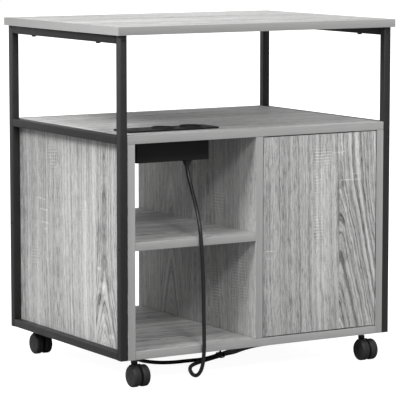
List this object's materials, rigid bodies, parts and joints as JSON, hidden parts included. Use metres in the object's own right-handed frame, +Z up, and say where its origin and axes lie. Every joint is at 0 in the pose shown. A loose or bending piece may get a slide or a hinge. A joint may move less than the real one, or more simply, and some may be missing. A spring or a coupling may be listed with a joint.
{
  "type": "mobile printer stand",
  "caption": "Wheeled printer stand with a tubular steel frame, wood-look boards, an open compartment, a push-to-open door and a charging station with its mains cord.",
  "frame": {"origin": "on the floor, under the centre of the tabletop", "axes": "+Z up, -Y is the front with the door and the open compartment, +X to the right seen from the front"},
  "size_m": [0.6, 0.4566, 0.652],
  "materials": {
    "grey_oak_top": "melamine film with a grey sawn oak figure, satin",
    "grey_oak": "melamine film with a grey sawn oak figure, satin",
    "grey_oak_inside": "melamine film with a grey sawn oak figure, satin",
    "frame_black": "black powder coat, fine texture",
    "station_black": "moulded black plastic, satin",
    "soft_black": "moulded black plastic, matt",
    "cord_black": "smooth black cable jacket",
    "bright_steel": "zinc-plated steel",
    "circuit_green": "bare circuit board",
    "nylon_grey": "moulded grey nylon"
  },
  "bodies": {
    "cabinet": {"left_front_post": "frame_black", "left_rear_post": "frame_black", "left_top_rail": "frame_black", "left_middle_rail": "frame_black", "left_bottom_rail": "frame_black", "right_front_post": "frame_black", "right_rear_post": "frame_black", "right_top_rail": "frame_black", "right_middle_rail": "frame_black", "right_bottom_rail": "frame_black", "tabletop": "grey_oak_top", "middle_top": "grey_oak_top", "left_front_tabletop_screw": "frame_black", "left_rear_tabletop_screw": "frame_black", "right_front_tabletop_screw": "frame_black", "right_rear_tabletop_screw": "frame_black", "left_side_panel": "grey_oak", "right_side_panel": "grey_oak", "bottom_panel": "grey_oak", "divider": "grey_oak_inside", "left_shelf": "grey_oak_inside", "right_back_panel": "grey_oak_inside", "carcass_top_hinge_leaf": "bright_steel", "carcass_bottom_hinge_leaf": "bright_steel", "push_latch_housing": "nylon_grey", "charging_station_housing": "station_black", "charging_station_plate": "station_black", "cord_tie": "station_black", "mains_socket_1": "soft_black", "mains_socket_2": "soft_black", "usb_port_insert": "soft_black", "cord_gland": "soft_black", "mains_plug": "soft_black", "usb_charger_board": "circuit_green", "mains_cord": "cord_black", "front_left_caster_stem": "frame_black", "front_right_caster_stem": "frame_black", "rear_left_caster_stem": "frame_black", "rear_right_caster_stem": "frame_black"},
    "door": {"door": "grey_oak", "door_top_hinge_leaf": "bright_steel", "door_bottom_hinge_leaf": "bright_steel", "push_latch_strike": "bright_steel"},
    "latch_plunger": {"push_latch_plunger": "nylon_grey"},
    "front_left_caster": {"front_left_caster_hood": "soft_black", "front_left_caster_axle": "bright_steel"},
    "front_left_caster_left_wheel": {"front_left_caster_left_wheel": "soft_black"},
    "front_left_caster_right_wheel": {"front_left_caster_right_wheel": "soft_black"},
    "front_right_caster": {"front_right_caster_hood": "soft_black", "front_right_caster_axle": "bright_steel"},
    "front_right_caster_left_wheel": {"front_right_caster_left_wheel": "soft_black"},
    "front_right_caster_right_wheel": {"front_right_caster_right_wheel": "soft_black"},
    "rear_left_caster": {"rear_left_caster_hood": "soft_black", "rear_left_caster_axle": "bright_steel"},
    "rear_left_caster_left_wheel": {"rear_left_caster_left_wheel": "soft_black"},
    "rear_left_caster_right_wheel": {"rear_left_caster_right_wheel": "soft_black"},
    "rear_right_caster": {"rear_right_caster_hood": "soft_black", "rear_right_caster_axle": "bright_steel"},
    "rear_right_caster_left_wheel": {"rear_right_caster_left_wheel": "soft_black"},
    "rear_right_caster_right_wheel": {"rear_right_caster_right_wheel": "soft_black"}
  },
  "joints": [
    {"name": "door_hinge", "type": "hinge", "parent": "cabinet", "child": "door", "pos_m": [0.2557, -0.2135, 0.255], "axis": [0, 0, 1], "range_deg": [0, 105]},
    {"name": "latch_plunger_push", "type": "slide", "parent": "cabinet", "child": "latch_plunger", "axis": [0, 1, 0], "range_m": [0, 0.003], "stiffness_N_per_m": 600},
    {"name": "front_left_caster_swivel", "type": "hinge", "parent": "cabinet", "child": "front_left_caster", "pos_m": [-0.251, -0.191, 0.043], "axis": [0, 0, 1], "continuous": true},
    {"name": "front_left_caster_left_wheel_spin", "type": "hinge", "parent": "front_left_caster", "child": "front_left_caster_left_wheel", "pos_m": [-0.26, -0.205, 0.02], "axis": [1, 0, 0], "continuous": true},
    {"name": "front_left_caster_right_wheel_spin", "type": "hinge", "parent": "front_left_caster", "child": "front_left_caster_right_wheel", "pos_m": [-0.242, -0.205, 0.02], "axis": [1, 0, 0], "continuous": true},
    {"name": "front_right_caster_swivel", "type": "hinge", "parent": "cabinet", "child": "front_right_caster", "pos_m": [0.251, -0.191, 0.043], "axis": [0, 0, 1], "continuous": true},
    {"name": "front_right_caster_left_wheel_spin", "type": "hinge", "parent": "front_right_caster", "child": "front_right_caster_left_wheel", "pos_m": [0.242, -0.205, 0.02], "axis": [1, 0, 0], "continuous": true},
    {"name": "front_right_caster_right_wheel_spin", "type": "hinge", "parent": "front_right_caster", "child": "front_right_caster_right_wheel", "pos_m": [0.26, -0.205, 0.02], "axis": [1, 0, 0], "continuous": true},
    {"name": "rear_left_caster_swivel", "type": "hinge", "parent": "cabinet", "child": "rear_left_caster", "pos_m": [-0.251, 0.191, 0.043], "axis": [0, 0, 1], "continuous": true},
    {"name": "rear_left_caster_left_wheel_spin", "type": "hinge", "parent": "rear_left_caster", "child": "rear_left_caster_left_wheel", "pos_m": [-0.26, 0.177, 0.02], "axis": [1, 0, 0], "continuous": true},
    {"name": "rear_left_caster_right_wheel_spin", "type": "hinge", "parent": "rear_left_caster", "child": "rear_left_caster_right_wheel", "pos_m": [-0.242, 0.177, 0.02], "axis": [1, 0, 0], "continuous": true},
    {"name": "rear_right_caster_swivel", "type": "hinge", "parent": "cabinet", "child": "rear_right_caster", "pos_m": [0.251, 0.191, 0.043], "axis": [0, 0, 1], "continuous": true},
    {"name": "rear_right_caster_left_wheel_spin", "type": "hinge", "parent": "rear_right_caster", "child": "rear_right_caster_left_wheel", "pos_m": [0.242, 0.177, 0.02], "axis": [1, 0, 0], "continuous": true},
    {"name": "rear_right_caster_right_wheel_spin", "type": "hinge", "parent": "rear_right_caster", "child": "rear_right_caster_right_wheel", "pos_m": [0.26, 0.177, 0.02], "axis": [1, 0, 0], "continuous": true}
  ]
}
